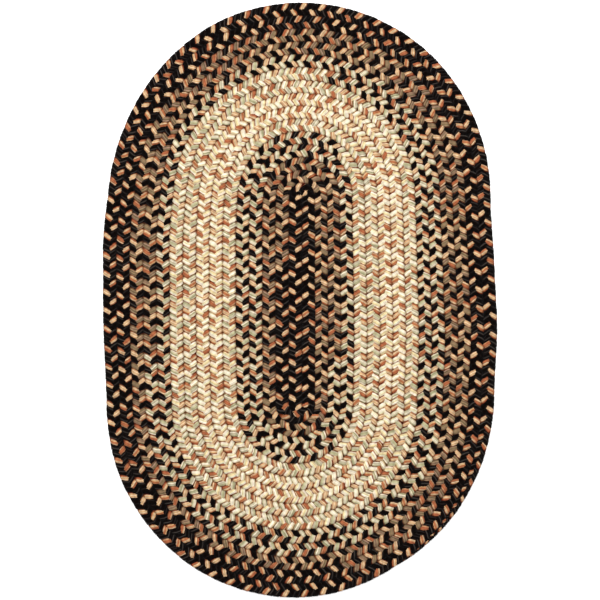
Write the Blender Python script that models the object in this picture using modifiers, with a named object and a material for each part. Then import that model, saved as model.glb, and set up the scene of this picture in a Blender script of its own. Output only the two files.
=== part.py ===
"""A coiled oval rug of flat three-strand braid, lying flat.

One braid starts in the middle, runs up, and winds clockwise outward as seen from above. Its rows lie edge
to edge and are joined along the grooves between them. The turns are straight legs joined by half circles,
about a centre at the top and one at the bottom. Each row stands up as a rib on the top and on the underside.

Units are metres, +Z up, +Y along the rug. The origin is the middle of the underside.
"""

import math

import bmesh
import bpy
import numpy as np

# The coil
TURNS = 15
LEG_LENGTH = 0.2678  # between the two centres, along Y
SEAM_X = 0.00265  # the middle seam, from the middle of the rug
TOP_CENTRE_Y = 0.1343
BOTTOM_CENTRE_Y = TOP_CENTRE_Y - LEG_LENGTH

# A turn runs from 0 to 4: up the left leg, over the top, down the right leg and round the bottom.
LEFT_LEG, TOP, RIGHT_LEG, BOTTOM = range(4)
STRETCHES = 4
LEG_STEPS = 3
ARC_STEPS = 24

# How wide one row of braid lies, round the turn
ROW_WIDTHS = (
    # place on the turn, width
    (0.0, 0.01665),
    (0.3, 0.01700),
    (0.85, 0.01705),
    (1.15, 0.01608),
    (1.3, 0.01645),
    (1.5, 0.01655),
    (1.75, 0.01630),
    (1.95, 0.01600),
    (2.3, 0.01640),
    (2.7, 0.01675),
    (3.0, 0.01630),
    (3.25, 0.01672),
    (3.5, 0.01720),
    (3.75, 0.01695),
)
WIDTH_EASE = 0.12  # how far each width blends into its neighbours, as a place on the turn
EASE_SAMPLES = 7

# The outer end narrows to nothing on the last bottom arc, between these angles from straight down.
TAPER_FROM = math.radians(90)
TAPER_TO = math.radians(32)

# The braid's section, as heights from its middle plane and as shares of the row's width from its inner edge
THICKNESS = 0.009
CROWN_Z = THICKNESS / 2
GROOVE_Z = 0.0023
RIM_SHOULDER_Z = 0.0031
INNER_LAND = 0.26
OUTER_LAND = 1 - INNER_LAND
RIM_SHOULDER = 0.93

WELD = 1e-5
SMOOTH_ANGLE = math.radians(50)
YARN_COLOUR = (0.36, 0.27, 0.18, 1.0)
YARN_ROUGHNESS = 0.9


def row_width(place):
    """The row's width at a place on the turn, eased from one named place to the next."""
    places, widths = zip(*ROW_WIDTHS)
    window = place + WIDTH_EASE * np.linspace(-1, 1, EASE_SAMPLES)
    return float(np.mean(np.interp(window, places, widths, period=STRETCHES)))


def coil_point(turn, stretch, share, across):
    """(x, y) on a turn, counted from 1, at a share of a stretch.

    Across is 0 at the row's inner edge and 1 at its outer edge.
    """
    width = row_width(stretch + share)
    reach = (turn - 1 + across) * width
    if stretch == LEFT_LEG:
        return SEAM_X - reach, BOTTOM_CENTRE_Y + share * LEG_LENGTH
    if stretch == RIGHT_LEG:
        return SEAM_X + reach, TOP_CENTRE_Y - share * LEG_LENGTH
    angle = math.pi * (1 - share)
    if stretch == TOP:
        return SEAM_X + reach * math.cos(angle), TOP_CENTRE_Y + reach * math.sin(angle)
    # The bottom centre lies half a row to the left, which leads each turn out to the next.
    reach += width / 2
    return SEAM_X - width / 2 - reach * math.cos(angle), BOTTOM_CENTRE_Y - reach * math.sin(angle)


def fullness(turn, stretch, share):
    """The braid's share of its full width, which is less than 1 only at the outer end."""
    if turn < TURNS or stretch != BOTTOM:
        return 1.0
    from_straight_down = math.pi * (0.5 - share)
    return float(np.interp(from_straight_down, (TAPER_TO, TAPER_FROM), (0.0, 1.0)))


def is_rim(turn, stretch, share):
    """True where no further row lies outside this one."""
    if turn == TURNS:
        return True
    return turn == TURNS - 1 and stretch == BOTTOM and fullness(TURNS, stretch, share) == 0


def section(turn, stretch, share):
    """The points of the braid's upper half, from its inner edge to its outer edge."""
    full = fullness(turn, stretch, share)
    crown = GROOVE_Z + (CROWN_Z - GROOVE_Z) * min(1.0, 2 * full)
    profile = [(0.0, GROOVE_Z), (INNER_LAND, crown), (OUTER_LAND, crown)]
    if full == 0:
        profile = [(0.0, 0.0)] * 5
    elif is_rim(turn, stretch, share):
        profile += [(RIM_SHOULDER, RIM_SHOULDER_Z), (1.0, 0.0)]
    else:
        profile += [(1.0, GROOVE_Z), (1.0, GROOVE_Z)]
    return [(*coil_point(turn, stretch, share, across * full), z) for across, z in profile]


def loft(mesh, first, second):
    """Joins two rows of points by faces, which look up where the second row is further along the coil."""
    start = [mesh.verts.new(point) for point in first]
    end = [mesh.verts.new(point) for point in second]
    for k in range(len(start) - 1):
        mesh.faces.new((start[k], end[k], end[k + 1], start[k + 1]))


def add_rows(mesh):
    """Every row of the braid, turn by turn, from section to section."""
    for turn in range(1, TURNS + 1):
        for stretch in (LEFT_LEG, TOP, RIGHT_LEG, BOTTOM):
            steps = LEG_STEPS if stretch in (LEFT_LEG, RIGHT_LEG) else ARC_STEPS
            for step in range(steps):
                start, end = step / steps, (step + 1) / steps
                if fullness(turn, stretch, start) > 0:
                    loft(mesh, section(turn, stretch, start), section(turn, stretch, end))


def add_inner_end(mesh):
    """The braid's rounded start, a half disc inside the first bottom arc."""
    width = row_width(LEFT_LEG)
    land_radius = width / 2 - INNER_LAND * width
    groove, land = [], []
    for step in range(ARC_STEPS + 1):
        share = step / ARC_STEPS
        angle = math.pi * (1 - share)
        x = SEAM_X - width / 2 - land_radius * math.cos(angle)
        land.append((x, BOTTOM_CENTRE_Y - land_radius * math.sin(angle), CROWN_Z))
        groove.append((*coil_point(1, BOTTOM, share, 0.0), GROOVE_Z))
    for k in range(ARC_STEPS):
        loft(mesh, (land[k], groove[k]), (land[k + 1], groove[k + 1]))
    mesh.faces.new([mesh.verts.new(point) for point in reversed(land)])


def yarn_material():
    """Thick cotton and wool yarn: matt, and seen from afar a mix of tan, cream and charcoal."""
    material = bpy.data.materials.new("braided_yarn")
    material.use_nodes = True
    shader = material.node_tree.nodes["Principled BSDF"]
    shader.inputs["Base Color"].default_value = YARN_COLOUR
    shader.inputs["Roughness"].default_value = YARN_ROUGHNESS
    shader.inputs["Metallic"].default_value = 0.0
    return material


def build_rug():
    """The rug as one object: its upper half, mirrored about its middle plane and raised onto the ground."""
    mesh = bmesh.new()
    add_rows(mesh)
    add_inner_end(mesh)
    bmesh.ops.remove_doubles(mesh, verts=mesh.verts, dist=WELD)
    data = bpy.data.meshes.new("braided_rug")
    mesh.to_mesh(data)
    mesh.free()
    data.shade_smooth()
    data.set_sharp_from_angle(angle=SMOOTH_ANGLE)
    data.materials.append(yarn_material())
    rug = bpy.data.objects.new("braided_rug", data)
    rug.location.z = THICKNESS / 2
    mirror = rug.modifiers.new("underside", "MIRROR")
    mirror.use_axis = (False, False, True)
    mirror.merge_threshold = WELD
    return rug


def main():
    """Clears the scene and builds the rug in a collection of its own."""
    for obj in list(bpy.data.objects):
        bpy.data.objects.remove(obj, do_unlink=True)
    collection = bpy.data.collections.new("braided_rug")
    bpy.context.scene.collection.children.link(collection)
    collection.objects.link(build_rug())


if __name__ == "__main__":
    main()
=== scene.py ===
"""The looks of a coiled oval rug of flat three-strand braid, lying on a pale floor.

The braid's three strands are modelled one by one. Each is swept along the coil by one Geometry Nodes tree,
and is cut where its yarn changes colour. Units are metres, +Z up, +Y along the rug.
"""

import logging
import math
from collections.abc import Sequence
from dataclasses import dataclass
from enum import Enum, IntEnum
from functools import partial

import bpy
import numpy as np
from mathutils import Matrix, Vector


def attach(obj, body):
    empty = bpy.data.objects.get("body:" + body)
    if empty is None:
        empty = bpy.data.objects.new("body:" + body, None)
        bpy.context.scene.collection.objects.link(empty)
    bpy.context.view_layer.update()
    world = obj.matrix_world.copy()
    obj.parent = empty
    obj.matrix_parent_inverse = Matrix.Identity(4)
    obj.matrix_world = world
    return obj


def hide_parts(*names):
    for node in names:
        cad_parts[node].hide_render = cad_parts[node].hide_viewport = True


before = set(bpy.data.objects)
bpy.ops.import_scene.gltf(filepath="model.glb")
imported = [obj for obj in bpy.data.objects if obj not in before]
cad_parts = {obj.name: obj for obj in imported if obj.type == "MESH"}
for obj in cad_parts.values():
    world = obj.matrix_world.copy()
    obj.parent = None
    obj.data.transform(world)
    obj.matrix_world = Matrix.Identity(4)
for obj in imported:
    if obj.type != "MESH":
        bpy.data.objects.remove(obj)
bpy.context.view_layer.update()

LOG = logging.getLogger("braided_rug")
CAD_NODE = "braided_rug"
BODY = "root"
MM = 0.001
TAU = 2 * math.pi
UP = (0.0, 0.0, 1.0)
MIDDLE_GREY = (0.5, 0.5, 0.5)
CROSSINGS = 2  # how often in a lay a strand passes between the other two
MATH = "ShaderNodeMath"
VECTOR_MATH = "ShaderNodeVectorMath"

# A tree, one of its values, and its inputs by name
Tree = bpy.types.NodeTree
Socket = bpy.types.NodeSocket
Given = dict[str, bpy.types.NodeSocket]


def add_node(
    tree: Tree,
    kind: str,
    *values: object,
    inputs: dict[str | int, object] | None = None,
    out: str | int = 0,
    stops: Sequence[tuple[float, str]] = (),
    **settings: object,
) -> Socket | None:
    """Adds a node with its settings, values and links.

    Args:
        tree: The tree that takes the node.
        kind: The node's type, such as ShaderNodeMath.
        *values: What goes into its first inputs, in order: values, or the outputs of other nodes.
        inputs: What goes into further inputs, by their names or numbers.
        out: The output that is wanted, by its name or number.
        stops: The places and the sRGB hex colours of a colour ramp.
        **settings: The node's own properties, or the ramp's.

    Returns:
        The wanted output, or None where the node has no output.
    """
    node = tree.nodes.new(kind)
    for name, value in settings.items():
        setattr(node.color_ramp if stops else node, name, value)
    if stops:
        elements = node.color_ramp.elements
        while len(elements) < len(stops):
            elements.new(0.5)
        for element, (place, colour) in zip(elements, stops):
            element.position = place
            element.color = linear(colour)
    for key, value in {**dict(enumerate(values)), **(inputs or {})}.items():
        if isinstance(value, Socket):
            tree.links.new(value, node.inputs[key])
        else:
            node.inputs[key].default_value = value
    return node.outputs[out] if len(node.outputs) else None


def linear(hex_colour: str) -> tuple[float, float, float, float]:
    """A colour written as sRGB hex, turned to the linear values that a shader takes."""
    shares = [int(hex_colour[k : k + 2], 16) / 255 for k in (1, 3, 5)]
    return (*(c / 12.92 if c <= 0.04045 else ((c + 0.055) / 1.055) ** 2.4 for c in shares), 1.0)


# The coil


class Stretch(IntEnum):
    """The four stretches of a turn, in the order in which the braid runs through them."""

    LEFT_LEG = 0
    TOP = 1
    RIGHT_LEG = 2
    BOTTOM = 3


@dataclass(frozen=True)
class Place:
    """A place on the coil.

    Attributes:
        turn: Which turn it is on, counted from 1 at the middle.
        stretch: Which stretch of the turn.
        share: How far along that stretch, from 0 to 1.
    """

    turn: int
    stretch: Stretch
    share: float

    @property
    def turns(self) -> float:
        """The place in turns from the start of the first left leg."""
        return self.turn - 1 + (self.stretch + self.share) / len(Stretch)


@dataclass
class Coil:
    """The line that the middle of the braid follows, as the solid rug has it.

    Attributes:
        turns: How often the braid goes round.
        leg_length: The distance between the two centres that the coil turns about.
        seam_x: Where the middle seam lies.
        top_centre_y: Where the upper centre lies.
        row_widths: How wide a row lies, at places on the turn from 0 to 4.
        width_ease: How far each width blends into its neighbours, as a place on the turn.
        ease_samples: From how many places around it a width is blended.
        taper_from: The angle from straight down where the outer end begins to narrow.
        taper_to: The angle from straight down where it is gone.
        samples_per_turn: How many points the line has in a turn.
        start_samples: How many points its rounded start has.
        start_reach: How long the rounded start is, as a share of the row's width.
        start_span: Between which shares of that length its points lie, where 1 would be its very tip.
    """

    turns: int = 15
    leg_length: float = 0.2678
    seam_x: float = 0.00265
    top_centre_y: float = 0.1343
    row_widths: tuple[tuple[float, float], ...] = (
        # place on the turn, width
        (0.0, 0.01665),
        (0.3, 0.01700),
        (0.85, 0.01705),
        (1.15, 0.01608),
        (1.3, 0.01645),
        (1.5, 0.01655),
        (1.75, 0.01630),
        (1.95, 0.01600),
        (2.3, 0.01640),
        (2.7, 0.01675),
        (3.0, 0.01630),
        (3.25, 0.01672),
        (3.5, 0.01720),
        (3.75, 0.01695),
    )
    width_ease: float = 0.12
    ease_samples: int = 7
    taper_from: float = math.radians(90)
    taper_to: float = math.radians(32)
    samples_per_turn: int = 1200
    start_samples: int = 12
    start_reach: float = 0.66
    start_span: tuple[float, float] = (0.96, 0.04)

    def __post_init__(self) -> None:
        """Works out the line's points and how far along the braid each one lies."""
        end = Place(self.turns, Stretch.BOTTOM, 0.5 - self.taper_to / math.pi).turns
        turns = np.linspace(0, end, int(end * self.samples_per_turn))
        full = self.fullness(turns)
        width = self.row_width(turns % 1 * len(Stretch))
        line = self.plan_point(turns, full / 2)
        # The braid's first few millimetres are its rounded end, straight below the first left leg.
        back = np.linspace(*self.start_span, self.start_samples)
        start = line[0] - np.stack([0 * back, back * self.start_reach * width[0]], axis=-1)
        self.line = np.concatenate([start, line])
        self.full = np.concatenate([np.sqrt(1 - back**2), full])
        self.width = np.concatenate([np.full(self.start_samples, width[0]), width])
        self.line_turns = np.concatenate([np.zeros(self.start_samples), turns])
        steps = np.linalg.norm(np.diff(self.line, axis=0), axis=1)
        self.distance = np.concatenate([[0.0], np.cumsum(steps)])

    @property
    def length(self) -> float:
        """The whole length of the braid."""
        return float(self.distance[-1])

    def distance_to(self, place: Place) -> float:
        """How far along the braid a place lies."""
        return float(np.interp(place.turns, self.line_turns, self.distance))

    def row_width(self, place: np.ndarray) -> np.ndarray:
        """The row's width, eased from one named place to the next.

        Args:
            place: Places on the turn, from 0 to 4.

        Returns:
            The width at each place.
        """
        places, widths = zip(*self.row_widths)
        window = np.asarray(place)[..., None] + self.width_ease * np.linspace(-1, 1, self.ease_samples)
        return np.interp(window, places, widths, period=len(Stretch)).mean(axis=-1)

    def plan_point(self, turns: np.ndarray, across: np.ndarray) -> np.ndarray:
        """Points of the coil in the plane.

        Args:
            turns: Places, in turns from the start of the first left leg.
            across: 0 at a row's inner edge and 1 at its outer edge.

        Returns:
            One (x, y) for each place.
        """
        turn = np.floor(turns)
        place = (turns - turn) * len(Stretch)
        share = place % 1
        on = [place.astype(int) == stretch for stretch in Stretch]
        width = self.row_width(place)
        reach = (turn + across) * width
        # The bottom centre lies half a row to the left, which leads each turn out to the next.
        low_reach = reach + width / 2
        bottom_y = self.top_centre_y - self.leg_length
        cos, sin = np.cos(math.pi * (1 - share)), np.sin(math.pi * (1 - share))
        x = np.select(on, [-reach, reach * cos, reach, -width / 2 - low_reach * cos])
        up, down = bottom_y + share * self.leg_length, self.top_centre_y - share * self.leg_length
        y = np.select(on, [up, self.top_centre_y + reach * sin, down, bottom_y - low_reach * sin])
        return np.stack([self.seam_x + x, y], axis=-1)

    def fullness(self, turns: np.ndarray) -> np.ndarray:
        """The braid's share of its full width, which falls to 0 at the outer end.

        Args:
            turns: Places, in turns from the start of the first left leg.

        Returns:
            The share at each place.
        """
        last_share = (turns - Place(self.turns, Stretch.BOTTOM, 0.0).turns) * len(Stretch)
        from_straight_down = math.pi * (0.5 - last_share)
        last = np.interp(from_straight_down, (self.taper_to, self.taper_from), (0.0, 1.0))
        return np.where(last_share > 0, last, 1.0)

    def line_at(self, distance: np.ndarray, marks: dict[str, np.ndarray]) -> bpy.types.Object:
        """A line of edges along the coil, which the strands are swept along.

        Args:
            distance: How far along the braid each of its points lies.
            marks: Further values that the points carry, by name.

        Returns:
            The line, whose points carry the row's width and the braid's fullness too.
        """
        x, y, width, full = (
            np.interp(distance, self.distance, values) for values in (*self.line.T, self.width, self.full))
        points = np.stack([x, y, 0 * x], axis=-1).tolist()
        mesh = bpy.data.meshes.new("coil_line")
        mesh.from_pydata(points, [(k, k + 1) for k in range(len(points) - 1)], [])
        for name, values in {"row_width": width, "fullness": full, "along": distance, **marks}.items():
            data = mesh.attributes.new(name, "FLOAT", "POINT").data
            data.foreach_set("value", values.astype(np.float32))
        line = bpy.data.objects.new("coil_line", mesh)
        bpy.context.scene.collection.objects.link(line)
        return line


# The yarns


@dataclass(frozen=True)
class Yarn:
    """A strand's yarn: a bundle of thick yarns laid side by side, each spun of wool and cotton and plied.

    Attributes:
        name: The material's name.
        colours: The colours of its yarns, as sRGB hex, in the order in which they lie, over and over.
        yarns: How many yarns lie round the strand.
        reflectance: How much light the palest yarn would give back.
        groove_shade: How bright the painted shade on the line between two yarns is, as a share of their own
            colour.
        groove_shade_shape: How wide that painted shade is, where less is narrower.
        crevice_shade: The tint of the shade painted on the strand's sides, which lie pressed against the next
            strand.
        crevice_shade_place: Where that painted shade begins and is full, as shares of the way to the strand's
            side.
        seam: The tint of the shade painted on its turns at the row's edges, which lie pressed against the
            next row.
        seam_shade_place: Where that painted shade begins and is full, as shares of the way to the row's edge.
        patchiness: How much the dye varies from yarn to yarn, and along a strand.
        patch_length: Over what length it varies.
        turn_length: How far along the bundle turns once.
        turn_drift: By what share of a turn it is ahead or behind.
        drift_length: Over what length that changes.
        yarn_depth: How deep the grooves between the yarns are.
        ply_length: How far apart the turns of a yarn's plies are.
        ply_depth: How deep the grooves between the plies are.
        ply_shade: How much darker those grooves are painted, as painted shade.
        fibre_size: The size of the fibres' unevenness.
        fibre_detail: How many finer layers it has.
        fibre_harshness: How strong each finer layer is, as a share of the last.
        fibre_contrast: How much darker and lighter the fibres are.
        roughness: How matt the fibre is.
        sheen: How much the fibre ends catch light at a low angle.
        sheen_roughness: How widely they scatter it.
        specular: How much the fibre mirrors.
    """

    name: str
    colours: tuple[str, ...]
    yarns: int = 15
    reflectance: float = 0.7
    groove_shade: float = 0.5
    groove_shade_shape: float = 0.6
    crevice_shade: str = "#b0602e"
    crevice_shade_place: tuple[float, float] = (0.56, 0.93)
    seam: str = "#a46e44"
    seam_shade_place: tuple[float, float] = (0.91, 1.0)
    patchiness: float = 0.18
    patch_length: float = 9 * MM
    turn_length: float = 260 * MM
    turn_drift: float = 0.6
    drift_length: float = 60 * MM
    yarn_depth: float = 0.45 * MM
    ply_length: float = 3.2 * MM
    ply_depth: float = 0.35 * MM
    ply_shade: float = 0.1
    fibre_size: float = 0.5 * MM
    fibre_detail: float = 3.0
    fibre_harshness: float = 0.6
    fibre_contrast: float = 0.5
    roughness: float = 0.95
    sheen: float = 0.02
    sheen_roughness: float = 0.5
    specular: float = 0.02

    def material(self) -> bpy.types.Material:
        """The yarn as a material that reads the strand's own attributes.

        Returns:
            The material.
        """
        # Wool and cotton, dyed in the fibre, loosely spun and plied by machine. The eye sees a matt, soft
        # surface, streaked by the side-by-side yarns, with no gloss. Where they lie pressed together, shade
        # is painted in.
        material = bpy.data.materials.new(self.name)
        material.use_nodes = True
        tree = material.node_tree
        add = partial(add_node, tree)
        along = add("ShaderNodeAttribute", attribute_name="along", out="Fac")
        aside = add("ShaderNodeAttribute", attribute_name="swing", out="Fac")
        around = add("ShaderNodeAttribute", attribute_name="around", out="Vector")
        across_strand = add("ShaderNodeSeparateXYZ", around)
        round_it = self._place_round(tree, along, across_strand.node.outputs["Y"], across_strand)
        count = add(MATH, round_it, float(self.yarns), operation="MULTIPLY")
        across = add(MATH, count, operation="FRACT")
        own = add(
            "ShaderNodeTexWhiteNoise", inputs={"W": add(MATH, count, operation="FLOOR")},
            noise_dimensions="1D", out="Value")
        # Each yarn is an arch across its own width. Its middle comes to a quarter, so 4 brings that to 1.
        crest = add(MATH, across, add(MATH, 1.0, across, operation="SUBTRACT"), operation="MULTIPLY")
        crest = add(MATH, crest, 4.0, operation="MULTIPLY")
        ply = add(MATH, along, 1 / self.ply_length, across, operation="MULTIPLY_ADD")
        ply = add(MATH, add(MATH, ply, TAU, operation="MULTIPLY"), operation="SINE")
        fibres = add(
            "ShaderNodeTexNoise", inputs={
                "Vector": add("ShaderNodeTexCoord", out="Object"), "Scale": 1 / self.fibre_size,
                "Detail": self.fibre_detail, "Roughness": self.fibre_harshness})
        colour = self._colour(tree, round_it, self._shade(tree, along, crest, ply, fibres, own))
        # Painted shade where strands and rows lie pressed together.
        colour = self._painted_shade(tree, colour, across_strand, aside)
        height = add(MATH, ply, self.ply_depth / 2, operation="MULTIPLY")
        height = add(MATH, crest, self.yarn_depth, height, operation="MULTIPLY_ADD")
        height = add(MATH, fibres, self.ply_depth, height, operation="MULTIPLY_ADD")
        bump = add("ShaderNodeBump", inputs={"Strength": 1.0, "Distance": 1.0, "Height": height})
        shader = tree.nodes["Principled BSDF"]
        tree.links.new(colour, shader.inputs["Base Color"])
        tree.links.new(bump, shader.inputs["Normal"])
        shader.inputs["Roughness"].default_value = self.roughness
        shader.inputs["Specular IOR Level"].default_value = self.specular
        shader.inputs["Sheen Weight"].default_value = self.sheen
        shader.inputs["Sheen Roughness"].default_value = self.sheen_roughness
        return material

    def _place_round(self, tree: Tree, along: Socket, up: Socket, aside: Socket) -> Socket:
        """The place round the bundle, which turns slowly and a little unevenly as it goes.

        Args:
            tree: The material's tree.
            along: How far along the braid the point lies.
            up: How far up in the strand's section it lies.
            aside: How far aside in the section it lies.

        Returns:
            The place, from 0 to 1.
        """
        add = partial(add_node, tree)
        angle = add(MATH, add(MATH, up, aside, operation="ARCTAN2"), 1 / TAU, operation="MULTIPLY")
        drift = add(
            "ShaderNodeTexNoise", inputs={"W": along, "Scale": 1 / self.drift_length, "Detail": 1.0},
            noise_dimensions="1D")
        turned = add(MATH, along, 1 / self.turn_length, angle, operation="MULTIPLY_ADD")
        drifted = add(MATH, drift, self.turn_drift, turned, operation="MULTIPLY_ADD")
        return add(MATH, drifted, operation="FRACT")

    def _shade(
        self, tree: Tree, along: Socket, crest: Socket, ply: Socket, fibres: Socket, own: Socket
    ) -> Socket:
        """How bright the yarn is, as a share of its own colour, with shade painted into the grooves between
        yarns and plies.

        Args:
            tree: The material's tree.
            along: How far along the braid the point lies.
            crest: 1 on top of a yarn, and 0 between two yarns.
            ply: 1 on top of a ply, and -1 between two plies.
            fibres: The fibres' unevenness, about 0.5.
            own: The yarn's own number, from 0 to 1.

        Returns:
            The brightness.
        """
        add = partial(add_node, tree)
        patches = add(
            "ShaderNodeTexNoise", inputs={"W": along, "Scale": 1 / self.patch_length, "Detail": 1.0},
            noise_dimensions="1D")
        shade = self.reflectance
        parts = (
            # what varies, by how much, brightness at 0
            # Painted shade: the colour darkens into the groove between two yarns.
            (add(MATH, crest, self.groove_shade_shape, operation="POWER"), 1 - self.groove_shade, self.groove_shade),
            (fibres, self.fibre_contrast, 1 - self.fibre_contrast / 2),
            # Painted shade: the colour darkens into the grooves between plies.
            (ply, self.ply_shade, 1 - self.ply_shade),
            (patches, 2 * self.patchiness, 1 - self.patchiness),
            (own, 2 * self.patchiness, 1 - self.patchiness),
        )
        for value, change, rest in parts:
            part = add(MATH, value, change, rest, operation="MULTIPLY_ADD")
            shade = add(MATH, part, shade, operation="MULTIPLY")
        return shade

    def _colour(self, tree: Tree, round_it: Socket, shade: Socket) -> Socket:
        """Each yarn's own colour, from its place round the strand, at its own brightness.

        Args:
            tree: The material's tree.
            round_it: The place round the strand, from 0 to 1.
            shade: The brightness.

        Returns:
            The colour.
        """
        stops = [(k / self.yarns, self.colours[k % len(self.colours)]) for k in range(self.yarns)]
        colour = add_node(tree, "ShaderNodeValToRGB", round_it, stops=stops, interpolation="CONSTANT")
        return add_node(tree, VECTOR_MATH, colour, inputs={"Scale": shade}, operation="SCALE")

    def _painted_shade(self, tree: Tree, colour: Socket, across_strand: Socket, aside: Socket) -> Socket:
        """The colour with painted shade where the strand lies pressed against the next strand or the next
        row.

        Args:
            tree: The material's tree.
            colour: The yarn's colour.
            across_strand: How far across the strand the point lies, from -1 to 1.
            aside: How far across the row the strand is there, from -1 to 1.

        Returns:
            The colour with its painted shade.
        """
        add = partial(add_node, tree)
        # Painted shade: a darker, browner tint towards the strand's sides and towards its turns at the row's
        # edges.
        for place, tint, (start, end) in (
            (across_strand, self.crevice_shade, self.crevice_shade_place),
            # Painted shade along the row's edges, where the rows meet.
            (aside, self.seam, self.seam_shade_place),
        ):
            out_from_middle = add(MATH, place, operation="ABSOLUTE")
            painted_shade = add("ShaderNodeValToRGB", out_from_middle, stops=((start, "#ffffff"), (end, tint)),
                        interpolation="EASE")
            colour = add(VECTOR_MATH, colour, painted_shade, operation="MULTIPLY")
        return colour


class Colourway(Enum):
    """The five yarns that the braid is made from."""

    CHARCOAL = Yarn("charcoal_yarn", (
        "#0a0302", "#060201", "#0b0402", "#080301", "#3a3430", "#0c0504", "#070201", "#241e1c", "#0a0302"))
    TAN = Yarn("tan_yarn", (
        "#daac78", "#e8c8a2", "#d8a876", "#e2c098", "#b8764e", "#b86c46", "#a45a3c", "#ca9266", "#e2c29a"))
    CREAM = Yarn("cream_yarn", (
        "#fdefd0", "#ffefd8", "#ece5bc", "#efd6a2", "#f3deaa", "#fbe7cc", "#fff5da", "#ead6a8", "#f2e8c0"))
    SAGE = Yarn("sage_yarn", (
        "#ecdfc2", "#e2d5b4", "#bdb790", "#b0a980", "#d8cdab", "#c2b698", "#ecddc2", "#a8a27a", "#d2c59f"))
    TAUPE = Yarn("taupe_yarn", (
        "#977b5c", "#7f6c4d", "#a78969", "#8b6c57", "#997f62", "#725d44", "#9f7f6b", "#837051", "#8d7457"))


# The braid


@dataclass(frozen=True)
class Run:
    """A run of one strand in one yarn.

    Attributes:
        name: The piece's name.
        yarn: What it is made from.
        start: Where on the coil it begins, or None for the braid's start.
    """

    name: str
    yarn: Colourway
    start: Place | None = None


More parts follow.
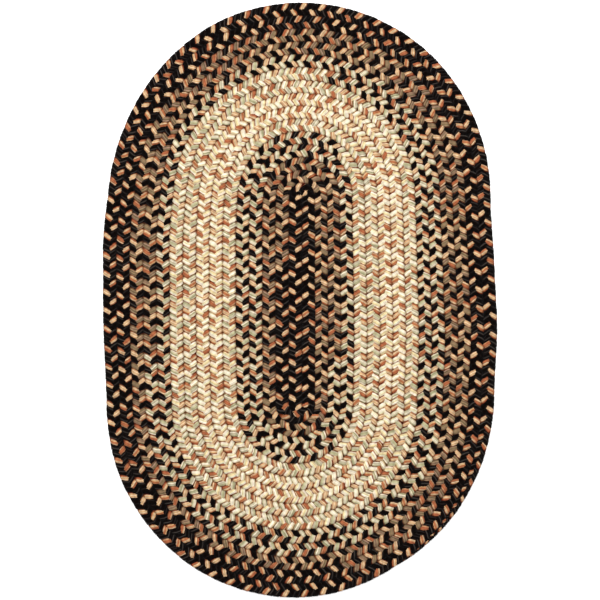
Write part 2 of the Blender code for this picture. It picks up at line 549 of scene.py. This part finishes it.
@dataclass
class Lay:
    """How a strand makes its way through the plait, over and over along the coil.

    Seen along the braid, that way is a figure of eight: outward on top, down round the row's edge, back to
    the middle underneath, up between the other two strands, and the same on the other side. One such round is
    a lay.

    Attributes:
        coil: The coil that it follows.
        inner: How far along the braid a strand comes back to the same side, at the inner end.
        outer: The same at the outer end, where the braid is a little looser.
        meetings: Which turns' lobes meet those of the turn inside on each leg, and which lie how far ahead.
        first: Where the first strand is in its way at the braid's start, as a share of a lay.
        sharpness: How sharply it turns at the edges, where 0 is a sine and 1 a zigzag.
        hop: The share of the swing that it makes at once, in the middle, where it passes between the others.
        hop_length: How long the hop takes, where less is shorter.
        roundness: How round its rise and fall are, where less is flatter on top and underneath.
        slack: How far the braid runs ahead of its even lay or falls behind, in lays.
        slack_length: Over what length it does so.
        slack_spread: The least and the greatest share of that length that its waves have.
        slack_waves: How many such waves add up.
        seed: Picks the slack.
    """

    coil: Coil
    inner: float = 22.9 * MM
    outer: float = 24.0 * MM
    meetings: tuple[tuple[Stretch, float, tuple[int, ...]], ...] = (
        # leg, lays ahead of the turn inside, turns
        (Stretch.LEFT_LEG, 0.0, (6, 7, 12, 13)),
        (Stretch.LEFT_LEG, 0.2, (9,)),
        (Stretch.LEFT_LEG, 0.4, (4, 5, 8)),
        (Stretch.LEFT_LEG, -0.15, (10, 11)),
        (Stretch.LEFT_LEG, -0.25, (2, 3)),
        (Stretch.LEFT_LEG, -0.35, (14, 15)),
        (Stretch.RIGHT_LEG, 0.0, (4,)),
        (Stretch.RIGHT_LEG, 0.25, (1,)),
        (Stretch.RIGHT_LEG, 0.35, (2, 11, 12)),
        (Stretch.RIGHT_LEG, 0.5, (9, 10)),
        (Stretch.RIGHT_LEG, -0.1, (5, 6, 7, 8, 15)),
        (Stretch.RIGHT_LEG, -0.3, (3, 13, 14)),
    )
    first: float = 0.314
    sharpness: float = 0.82
    hop: float = 0.25
    hop_length: float = 0.25
    roundness: float = 0.6
    slack: float = 0.06
    slack_length: float = 12 * MM
    slack_spread: tuple[float, float] = (0.6, 1.7)
    slack_waves: int = 5
    seed: int = 7

    def __post_init__(self) -> None:
        """Counts the lays along the braid."""
        share = self.coil.line_turns / self.coil.turns
        lay = self.inner + (self.outer - self.inner) * share
        natural = np.concatenate([[0.0], np.cumsum(np.diff(self.coil.distance) / lay[1:])])
        places, added = self._stretched(natural)
        self.count = natural + np.interp(self.coil.distance, places, added) + self.first

    def _stretched(self, natural: np.ndarray) -> tuple[list[float], list[float]]:
        """Stretches or shortens the lay a little from leg to leg, so that lobes meet as they do in the rug.

        Args:
            natural: The count of even lays along the coil's line.

        Returns:
            Places along the braid, and how many lays have been added by each.
        """
        ahead = {(leg, turn): lays for leg, lays, turns in self.meetings for turn in turns}
        places, added = [0.0], [0.0]
        inside: dict[Stretch, float] = {}
        for turn in range(1, self.coil.turns + 1):
            for leg in (Stretch.LEFT_LEG, Stretch.RIGHT_LEG):
                places.append(self.coil.distance_to(Place(turn, leg, 0.5)))
                count = float(np.interp(places[-1], self.coil.distance, natural)) + added[-1]
                met = count
                if (leg, turn) in ahead:
                    # Lobes meet where a turn holds a whole number of lays and a half. The first right leg
                    # goes by the left one, across the middle seam.
                    meeting = inside.get(leg, inside[Stretch.LEFT_LEG]) + 0.5 - ahead[leg, turn]
                    met = meeting + round(count - meeting)
                inside[leg] = met
                added.append(added[-1] + met - count)
        return places, added

    def at(self, place: Place) -> float:
        """How many lays there are before a place."""
        return float(np.interp(self.coil.distance_to(place), self.coil.distance, self.count))

    def line(self, lays: np.ndarray, phase: float) -> bpy.types.Object:
        """The line that a strand is swept along, at these places in its way and this far ahead, in lays."""
        distance = np.interp(lays - phase, self.count, self.coil.distance)
        return self.coil.line_at(distance, self._marks(TAU * (lays + self._slack_at(distance))))

    def _marks(self, turn: np.ndarray) -> dict[str, np.ndarray]:
        """How far aside and up the strand is, as shares, and how fast that changes.

        Args:
            turn: Angles of its way, where a lay is a whole turn.

        Returns:
            The values at those angles, by name.
        """
        sine, cosine = np.sin(turn), np.cos(turn)
        whole = math.asin(self.sharpness)
        zigzag = np.arcsin(self.sharpness * sine) / whole
        zigzag_pace = self.sharpness * cosine / np.sqrt(1 - (self.sharpness * sine) ** 2) / whole
        hop, hop_pace = self._plateau(sine, cosine, self.hop_length)
        lift, lift_pace = self._plateau(np.sin(2 * turn), 2 * np.cos(2 * turn), self.roundness)
        swing = zigzag + self.hop * (hop - zigzag)
        swing_pace = zigzag_pace + self.hop * (hop_pace - zigzag_pace)
        return {"swing": swing, "swing_pace": swing_pace, "lift": lift, "lift_pace": lift_pace}

    @staticmethod
    def _plateau(wave: np.ndarray, pace: np.ndarray, softness: float) -> tuple[np.ndarray, np.ndarray]:
        """Presses a wave's crests flat.

        Args:
            wave: The wave, from -1 to 1.
            pace: How fast it changes.
            softness: How round the crests stay, where less is flatter.

        Returns:
            The flattened wave and its pace.
        """
        crest = math.hypot(1, softness)
        size = np.hypot(wave, softness)
        return crest * wave / size, crest * pace * softness**2 / size**3

    def _slack_at(self, distance: np.ndarray) -> np.ndarray:
        """How far the braid runs ahead of its even lay, in lays. All three strands share it.

        Args:
            distance: How far along the braid each place lies.

        Returns:
            The slack at each place.
        """
        shares = np.random.default_rng(self.seed).uniform(*self.slack_spread, self.slack_waves)
        waves = [np.sin(distance / (self.slack_length * share) + 2 * k) for k, share in enumerate(shares)]
        return self.slack * np.mean(waves, axis=0)


@dataclass
class Strand:
    """One strand's body, swept along its way by a tree. Its flat folds over at each edge as a ribbon does.

    Attributes:
        sway: How far a strand swings from the middle, as a share of the row's width.
        rise: How far it goes up and down.
        width: Its width.
        thickness: Its thickness.
        squareness: The power of the section's superellipse, where 1 is an ellipse and less is squarer.
        sides: How many points a section has.
        middle_z: The height of the braid's middle plane.
        wander: How far the rows lie off their true line.
        wander_length: Over what length they do so.
        unevenness: How much its bulk varies, as a share of it.
        uneven_length: Over what length the bulk varies.
        taper: The power of the braid's fullness that its bulk follows, where less keeps it full for longer.
    """

    sway: float = 0.398
    rise: float = 1.95 * MM
    width: float = 7.6 * MM
    thickness: float = 4.9 * MM
    squareness: float = 0.8
    sides: int = 8
    middle_z: float = 4.5 * MM
    wander: float = 1.4 * MM
    wander_length: float = 70 * MM
    unevenness: float = 0.15
    uneven_length: float = 9 * MM
    taper: float = 0.4

    def tree(self) -> Tree:
        """The Geometry Nodes tree that sweeps the strand's section along its way.

        Returns:
            The tree, with the sizes as named inputs.
        """
        tree = bpy.data.node_groups.new("strand_of_braid", "GeometryNodeTree")
        sizes = {
            "Sway": self.sway,
            "Rise": self.rise,
            "Strand width": self.width,
            "Strand thickness": self.thickness,
            "Wander": self.wander,
            "Bulk": 1.0,
            "Unevenness": self.unevenness,
            "Seed": 0.0,
        }
        tree.interface.new_socket(name="Line", in_out="INPUT", socket_type="NodeSocketGeometry")
        for name, value in sizes.items():
            socket = tree.interface.new_socket(name=name, in_out="INPUT", socket_type="NodeSocketFloat")
            socket.default_value = value
        sides = tree.interface.new_socket(name="Sides", in_out="INPUT", socket_type="NodeSocketInt")
        sides.default_value = self.sides
        tree.interface.new_socket(name="Yarn", in_out="INPUT", socket_type="NodeSocketMaterial")
        tree.interface.new_socket(name="Strand", in_out="OUTPUT", socket_type="NodeSocketGeometry")
        add = partial(add_node, tree)
        given = {socket.name: socket for socket in add("NodeGroupInput").node.outputs}
        swept = add("GeometryNodeCurveToMesh", inputs={
            "Curve": self._way(tree, given), "Profile Curve": self._section(tree, given),
            "Scale": self._bulk(tree, given), "Fill Caps": True})
        real = add("GeometryNodeRealizeInstances", add("GeometryNodeSetShadeSmooth", swept))
        add("NodeGroupOutput", add("GeometryNodeSetMaterial", real, inputs={"Material": given["Yarn"]}))
        return tree

    def _way(self, tree: Tree, given: Given) -> Socket:
        """The strand's own way, whose normals lie across the flat of the strand.

        Args:
            tree: The tree.
            given: Its inputs, by name.

        Returns:
            The way as a curve.
        """
        add = partial(add_node, tree)
        row_width, full, swing, swing_pace, lift, lift_pace = (
            add("GeometryNodeInputNamedAttribute", name, data_type="FLOAT")
            for name in ("row_width", "fullness", "swing", "swing_pace", "lift", "lift_pace"))
        row = add(MATH, row_width, full, operation="MULTIPLY")
        reach = add(MATH, row, given["Sway"], operation="MULTIPLY")
        rise = add(MATH, add(MATH, full, operation="SQRT"), given["Rise"], operation="MULTIPLY")
        fall = add(MATH, rise, -1.0, operation="MULTIPLY")
        outward = add(VECTOR_MATH, UP, add("GeometryNodeInputTangent"), operation="CROSS_PRODUCT")
        aside = add(MATH, swing, reach, operation="MULTIPLY")
        height = add(MATH, lift, rise, self.middle_z, operation="MULTIPLY_ADD")
        face_out = add(MATH, lift_pace, fall, operation="MULTIPLY")
        face_up = add(MATH, swing_pace, reach, operation="MULTIPLY")
        face = self._out_and_up(tree, outward, face_out, face_up)
        line = add("GeometryNodeMeshToCurve", given["Line"])
        faced = add("GeometryNodeStoreNamedAttribute", line, inputs={"Name": "face", "Value": face},
                    data_type="FLOAT_VECTOR", domain="POINT")
        offset = add(
            VECTOR_MATH, self._out_and_up(tree, outward, aside, height), self._drift(tree, given),
            operation="ADD")
        swung = add("GeometryNodeSetPosition", faced, inputs={"Offset": offset})
        across = add(
            VECTOR_MATH, add("GeometryNodeInputNamedAttribute", "face", data_type="FLOAT_VECTOR"),
            add("GeometryNodeInputTangent"), operation="CROSS_PRODUCT")
        across = add(VECTOR_MATH, across, operation="NORMALIZE")
        return add("GeometryNodeSetCurveNormal", swung, inputs={"Normal": across}, mode="FREE")

    @staticmethod
    def _out_and_up(tree: Tree, outward: Socket, out: Socket, up: Socket) -> Socket:
        """A step outward across the row and up.

        Args:
            tree: The tree.
            outward: The level direction across the row, away from the coil's middle.
            out: How far outward it goes.
            up: How far up it goes.

        Returns:
            The step as a vector.
        """
        level = add_node(tree, VECTOR_MATH, outward, inputs={"Scale": out}, operation="SCALE")
        upright = add_node(tree, "ShaderNodeCombineXYZ", inputs={"Z": up})
        return add_node(tree, VECTOR_MATH, level, upright, operation="ADD")

    def _drift(self, tree: Tree, given: Given) -> Socket:
        """How far off its true line the row lies, the same for all three strands.

        Args:
            tree: The tree.
            given: Its inputs, by name.

        Returns:
            The drift as a level vector.
        """
        add = partial(add_node, tree)
        noise = add("ShaderNodeTexNoise", inputs={
            "Vector": add("GeometryNodeInputPosition"), "Scale": 1 / self.wander_length, "Detail": 0.0},
            out="Color")
        level = add("ShaderNodeCombineXYZ", given["Wander"], given["Wander"])
        centred = add(VECTOR_MATH, noise, MIDDLE_GREY, operation="SUBTRACT")
        return add(VECTOR_MATH, centred, level, operation="MULTIPLY")

    def _bulk(self, tree: Tree, given: Given) -> Socket:
        """How full the strand is: a little uneven, and thinner towards the braid's outer end.

        Args:
            tree: The tree.
            given: Its inputs, by name.

        Returns:
            The bulk as a scale of the section.
        """
        add = partial(add_node, tree)
        along, full = (
            add("GeometryNodeInputNamedAttribute", name, data_type="FLOAT") for name in ("along", "fullness"))
        noise = add("ShaderNodeTexNoise", inputs={
            "W": add(MATH, along, given["Seed"], operation="ADD"), "Scale": 1 / self.uneven_length,
            "Detail": 0.0}, noise_dimensions="1D")
        # The noise runs from 0 to 1, and is spread to run from -1 to 1.
        uneven = add(MATH, noise, 2.0, -1.0, operation="MULTIPLY_ADD")
        uneven = add(MATH, uneven, given["Unevenness"], 1.0, operation="MULTIPLY_ADD")
        bulk = add(MATH, uneven, given["Bulk"], operation="MULTIPLY")
        return add(MATH, bulk, add(MATH, full, self.taper, operation="POWER"), operation="MULTIPLY")

    def _section(self, tree: Tree, given: Given) -> Socket:
        """The strand's section, wider than thick, whose points know where round it they lie.

        Args:
            tree: The tree.
            given: Its inputs, by name.

        Returns:
            The section as a closed curve.
        """
        add = partial(add_node, tree)
        circle = add("GeometryNodeCurvePrimitiveCircle", inputs={"Resolution": given["Sides"], "Radius": 1.0})
        place = add("GeometryNodeInputPosition")
        marked = add("GeometryNodeStoreNamedAttribute", circle, inputs={"Name": "around", "Value": place},
                     data_type="FLOAT_VECTOR", domain="POINT")
        parts = add("ShaderNodeSeparateXYZ", place).node.outputs
        squared = {}
        for axis, size in (("X", given["Strand width"]), ("Y", given["Strand thickness"])):
            out = add(MATH, parts[axis], operation="ABSOLUTE")
            share = add(MATH, out, self.squareness, operation="POWER")
            side = add(MATH, parts[axis], operation="SIGN")
            half = add(MATH, add(MATH, side, 0.5, operation="MULTIPLY"), size, operation="MULTIPLY")
            squared[axis] = add(MATH, half, share, operation="MULTIPLY")
        shaped = add("ShaderNodeCombineXYZ", inputs=squared)
        return add("GeometryNodeSetPosition", marked, inputs={"Position": shaped})


@dataclass
class SkinLayout:
    """Lays a strand's skin out flat, as strips beside each other, with its two end faces in the last strip.

    Attributes:
        sides: How many points the strand's section has.
        step_share: How far its sections lie apart, as a share of a side.
        gap: How much of a strip's width is left free on either side.
        end_size: The two radii of an end face.
        end_places: How far along the last strip each end face lies.
    """

    sides: int
    step_share: float = 0.65
    gap: float = 0.04
    end_size: tuple[float, float] = (0.03, 0.3)
    end_places: tuple[float, float] = (0.05, 0.175)

    def lay_out(self, mesh: bpy.types.Mesh) -> None:
        """Gives the mesh its map.

        Args:
            mesh: The swept strand, whose points run ring by ring.
        """
        corners, first, total = (
            np.empty(len(items), dtype=np.int64) for items in (mesh.loops, mesh.polygons, mesh.polygons))
        mesh.loops.foreach_get("vertex_index", corners)
        mesh.polygons.foreach_get("loop_start", first)
        mesh.polygons.foreach_get("loop_total", total)
        face = np.repeat(np.arange(len(total)), total)
        section, side = np.divmod(corners, self.sides)
        turn = TAU * side / self.sides
        start = np.minimum.reduceat(section, first)[face]
        # The last side of a ring joins its first, so the first counts as one more there.
        wraps = (np.maximum.reduceat(side, first) == self.sides - 1)[face] & (side == 0)
        side = np.where(wraps, self.sides, side)
        steps = len(mesh.vertices) // self.sides - 1
        strips = max(1, round(math.sqrt(steps * self.step_share / self.sides)))
        per_strip = math.ceil(steps / strips)
        strip, step = np.divmod(start, per_strip)
        u = (step + section - start) / per_strip
        v = (strip + self.gap + (1 - 2 * self.gap) * side / self.sides) / (strips + 1)
        # Every face is a quad, apart from the two end faces.
        is_end = (total != 4)[face]
        end_u = np.where(section == 0, *self.end_places) + self.end_size[0] * np.cos(turn)
        end_v = (strips + 0.5 + self.end_size[1] * np.sin(turn)) / (strips + 1)
        flat = np.stack([np.where(is_end, end_u, u), np.where(is_end, end_v, v)], axis=-1)
        mesh.uv_layers.new(name="OFBake").data.foreach_set("uv", flat.astype(np.float32).ravel())


@dataclass
class Braid:
    """A flat three-strand plait.

    Attributes:
        coil: The coil that it follows.
        strands: The runs of yarn in each strand.
        bulks: How full each strand is, where the tan one has fewer yarns.
        steps: How many sections a strand has in a lay.
        crowding: How much closer they lie at the edges than on average.
        seed: Picks the strands' unevenness.
    """

    coil: Coil
    strands: tuple[tuple[Run, ...], ...]
    bulks: tuple[float, ...] = (0.94, 1.03, 1.03)
    steps: int = 14
    crowding: float = 0.4
    seed: int = 7

    def build(self) -> list[bpy.types.Object]:
        """Sweeps every run of every strand.

        Returns:
            One object for each run, each with its own yarn.
        """
        lay, strand = Lay(self.coil), Strand()
        LOG.info("braid: %.2f m, %.0f lays", self.coil.length, lay.count[-1])
        tree = strand.tree()
        yarns = {colourway: colourway.value.material() for colourway in Colourway}
        inputs = {item.name: item.identifier for item in tree.interface.items_tree if item.in_out == "INPUT"}
        skin = SkinLayout(strand.sides)
        pieces = []
        for number, runs in enumerate(self.strands):
            phase = number / len(self.strands)
            cuts = [self._hidden_cut(lay, run.start, phase) for run in runs] + [float(lay.count[-1]) + phase]
            for run, first, last in zip(runs, cuts, cuts[1:]):
                line = lay.line(self._sections(first, last), phase)
                modifier = line.modifiers.new("strand", "NODES")
                modifier.node_group = tree
                modifier[inputs["Yarn"]] = yarns[run.yarn]
                modifier[inputs["Seed"]] = float(self.seed + number)
                modifier[inputs["Bulk"]] = self.bulks[number]
                pieces.append(self._piece(run, line, skin))
        return pieces

    @staticmethod
    def _hidden_cut(lay: Lay, place: Place | None, phase: float) -> float:
        """Where a run begins in its strand's way: at the start, or hidden between the other two strands.

        Args:
            lay: The count of lays along the coil.
            place: Where the run begins, or None for the braid's start.
            phase: How far the strand is ahead of the first one, in lays.

        Returns:
            The place in the strand's way, in lays.
        """
        if place is None:
            return float(lay.count[0]) + phase
        return round((lay.at(place) + phase) * CROSSINGS) / CROSSINGS

    def _sections(self, first: float, last: float) -> np.ndarray:
        """Where a run's sections lie, in lays, with more of them where the strand folds over at the edges."""
        even = np.arange(math.ceil(first * self.steps), math.floor(last * self.steps) + 1) / self.steps
        return even + self.crowding / (2 * TAU) * np.sin(2 * TAU * even)

    @staticmethod
    def _piece(run: Run, line: bpy.types.Object, skin: SkinLayout) -> bpy.types.Object:
        """The modifier's result as a plain object, in place of the line.

        Args:
            run: The run that it is.
            line: The line with the modifier, which is removed.
            skin: Lays its skin out flat.

        Returns:
            The piece, which rides on the rug's body.
        """
        graph = bpy.context.evaluated_depsgraph_get()
        mesh = bpy.data.meshes.new_from_object(line.evaluated_get(graph))
        bpy.data.objects.remove(line)
        mesh.name = run.name
        skin.lay_out(mesh)
        piece = bpy.data.objects.new(run.name, mesh)
        bpy.context.scene.collection.objects.link(piece)
        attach(piece, BODY)
        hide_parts(CAD_NODE)
        return piece


TAN_STRAND = (Run("tan_strand", Colourway.TAN),)
DARK_STRAND = (
    Run("dark_strand_inner", Colourway.CHARCOAL),
    Run("dark_strand_cream", Colourway.CREAM, Place(5, Stretch.TOP, 0.761)),
    Run("dark_strand_outer", Colourway.CHARCOAL, Place(10, Stretch.TOP, 0.586)),
)
CHANGING_STRAND = (
    Run("changing_strand_inner", Colourway.CHARCOAL),
    Run("changing_strand_taupe_inner", Colourway.TAUPE, Place(2, Stretch.LEFT_LEG, 0.678)),
    Run("changing_strand_sage_inner", Colourway.SAGE, Place(3, Stretch.RIGHT_LEG, 0.792)),
    Run("changing_strand_cream", Colourway.CREAM, Place(6, Stretch.BOTTOM, 0.5)),
    Run("changing_strand_sage_outer", Colourway.SAGE, Place(8, Stretch.RIGHT_LEG, 0.888)),
    Run("changing_strand_taupe_outer", Colourway.TAUPE, Place(12, Stretch.LEFT_LEG, 0.242)),
    Run("changing_strand_outer", Colourway.CHARCOAL, Place(13, Stretch.BOTTOM, 0.414)),
)


# The room


@dataclass(frozen=True)
class FloorPaint:
    """The floor's finish.

    Attributes:
        colour: Its colour, as sRGB hex.
        roughness: How matt it is.
    """

    colour: str = "#fafafa"
    roughness: float = 0.9

    def material(self) -> bpy.types.Material:
        """The paint as a material.

        Returns:
            The material.
        """
        # Matt emulsion, rolled on smooth board. It shows as one plain white, with no sheen under the lamp.
        material = bpy.data.materials.new("matt_white_floor")
        material.use_nodes = True
        shader = material.node_tree.nodes["Principled BSDF"]
        shader.inputs["Base Color"].default_value = linear(self.colour)
        shader.inputs["Roughness"].default_value = self.roughness
        return material


@dataclass
class Studio:
    """A plain pale floor, soft even light and a camera straight above.

    Attributes:
        view_height: How much of the floor the picture shows, from bottom to top.
        camera_height: How high the camera stands, far enough off for a nearly straight view.
        floor_size: The floor's side.
        floor_drop: How far the floor lies below the rug's middle, as the lowest folds of the strands need.
        light_size: How wide the lamp is.
        light_place: Where it hangs, along X and Y.
        light_height: How high it hangs.
        light_power: Its power in watts.
        sky: How bright the room is round about.
        sky_colour: The room's colour, as sRGB hex.
    """

    view_height: float = 0.772
    camera_height: float = 5.0
    floor_size: float = 14.0
    floor_drop: float = 0.6 * MM
    light_size: float = 2.2
    light_place: tuple[float, float] = (-0.1, 0.45)
    light_height: float = 1.7
    light_power: float = 66.0
    sky: float = 0.825
    sky_colour: str = "#ffffff"

    def build(self) -> None:
        """Makes the floor, the light and the camera."""
        self._floor()
        self._light()
        self._camera()
        bpy.context.scene.view_settings.view_transform = "Standard"

    def _floor(self) -> None:
        """A flat square floor, which is left out of the export."""
        half = self.floor_size / 2
        corners = [(x * half, y * half, -self.floor_drop) for x, y in ((-1, -1), (1, -1), (1, 1), (-1, 1))]
        mesh = bpy.data.meshes.new("floor")
        mesh.from_pydata(corners, [], [(0, 1, 2, 3)])
        mesh.materials.append(FloorPaint().material())
        floor = bpy.data.objects.new("floor", mesh)
        bpy.context.scene.collection.objects.link(floor)

    def _light(self) -> None:
        """One large round lamp, aimed at the rug, in an evenly lit room."""
        lamp = bpy.data.lights.new("soft_lamp", "AREA")
        lamp.shape = "DISK"
        lamp.size = self.light_size
        lamp.energy = self.light_power
        light = bpy.data.objects.new("soft_lamp", lamp)
        light.location = (*self.light_place, self.light_height)
        light.rotation_euler = (-Vector(light.location)).to_track_quat("-Z", "Y").to_euler()
        bpy.context.scene.collection.objects.link(light)
        world = bpy.data.worlds.new("room")
        world.use_nodes = True
        room = world.node_tree.nodes["Background"]
        room.inputs["Color"].default_value = linear(self.sky_colour)
        room.inputs["Strength"].default_value = self.sky
        bpy.context.scene.world = world

    def _camera(self) -> None:
        """A long lens, straight above the rug, with the rug's top end at the top of the picture."""
        lens = bpy.data.cameras.new("camera")
        lens.lens = lens.sensor_width * self.camera_height / self.view_height
        camera = bpy.data.objects.new("camera", lens)
        camera.location = (0.0, 0.0, self.camera_height)
        bpy.context.scene.collection.objects.link(camera)
        bpy.context.scene.camera = camera


def main() -> None:
    """Builds the room and the rug, and reports each piece."""
    logging.basicConfig(level=logging.INFO, format="%(name)s: %(message)s")
    Studio().build()
    pieces = Braid(Coil(), (TAN_STRAND, DARK_STRAND, CHANGING_STRAND)).build()
    for piece in pieces:
        LOG.info("%s: %d faces of %s", piece.name, len(piece.data.polygons), piece.data.materials[0].name)


if __name__ == "__main__":
    main()
